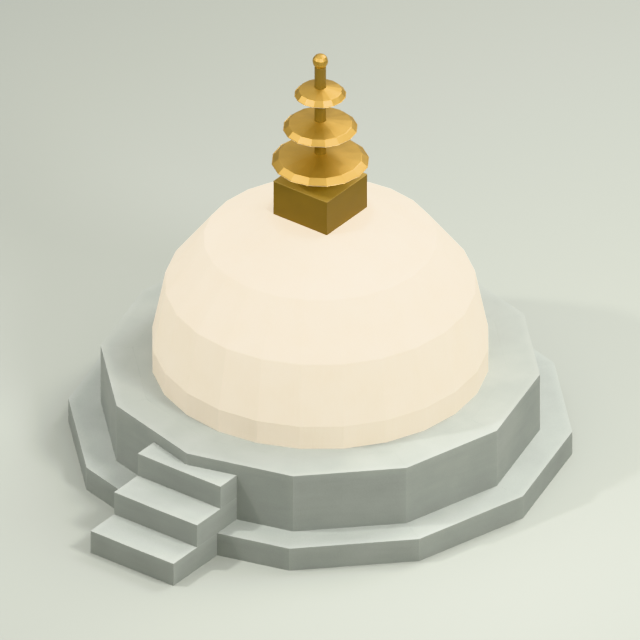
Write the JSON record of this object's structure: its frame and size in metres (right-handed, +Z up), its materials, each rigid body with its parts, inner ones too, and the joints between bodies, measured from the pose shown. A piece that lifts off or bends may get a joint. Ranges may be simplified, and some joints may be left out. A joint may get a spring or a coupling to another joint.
{
  "type": "stupa",
  "caption": "Small stupa: stepped twelve-sided stone terraces with a stair, a plastered dome on a low drum, and a gilded block with a mast, round canopies and a ball.",
  "frame": {"origin": "on the dome's axis at ground level, on the underside of the masonry core", "axes": "+Z up, the stair on the -Y side climbing towards +Y, X across the stair"},
  "size_m": [3.9, 4.35, 3.465],
  "materials": {
    "grey_stone": "sawn, dry and matt",
    "lime_plaster": "float-finished lime plaster, matt",
    "gilded_copper": "gilded, satin"
  },
  "bodies": {
    "root": {"canopy_lower": "gilded_copper", "canopy_middle": "gilded_copper", "canopy_upper": "gilded_copper", "dome": "lime_plaster", "dome_drum": "lime_plaster", "finial_ball": "gilded_copper", "harmika_core": "grey_stone", "harmika_lid": "gilded_copper", "harmika_sheet_back": "gilded_copper", "harmika_sheet_front": "gilded_copper", "harmika_sheet_left": "gilded_copper", "harmika_sheet_right": "gilded_copper", "hub_lower": "gilded_copper", "hub_middle": "gilded_copper", "hub_upper": "gilded_copper", "lower_kerb_01": "grey_stone", "lower_kerb_02": "grey_stone", "lower_kerb_03": "grey_stone", "lower_kerb_04": "grey_stone", "lower_kerb_05": "grey_stone", "lower_kerb_06": "grey_stone", "lower_kerb_07": "grey_stone", "lower_kerb_08": "grey_stone", "lower_kerb_09": "grey_stone", "lower_kerb_10": "grey_stone", "lower_kerb_11": "grey_stone", "lower_kerb_12": "grey_stone", "mast": "gilded_copper", "step_1": "grey_stone", "step_2": "grey_stone", "step_3": "grey_stone", "terrace_core": "grey_stone", "upper_wall_01": "grey_stone", "upper_wall_02": "grey_stone", "upper_wall_03": "grey_stone", "upper_wall_04": "grey_stone", "upper_wall_05": "grey_stone", "upper_wall_06": "grey_stone", "upper_wall_07": "grey_stone", "upper_wall_08": "grey_stone", "upper_wall_09": "grey_stone", "upper_wall_10": "grey_stone", "upper_wall_11": "grey_stone", "upper_wall_12": "grey_stone"}
  },
  "joints": []
}
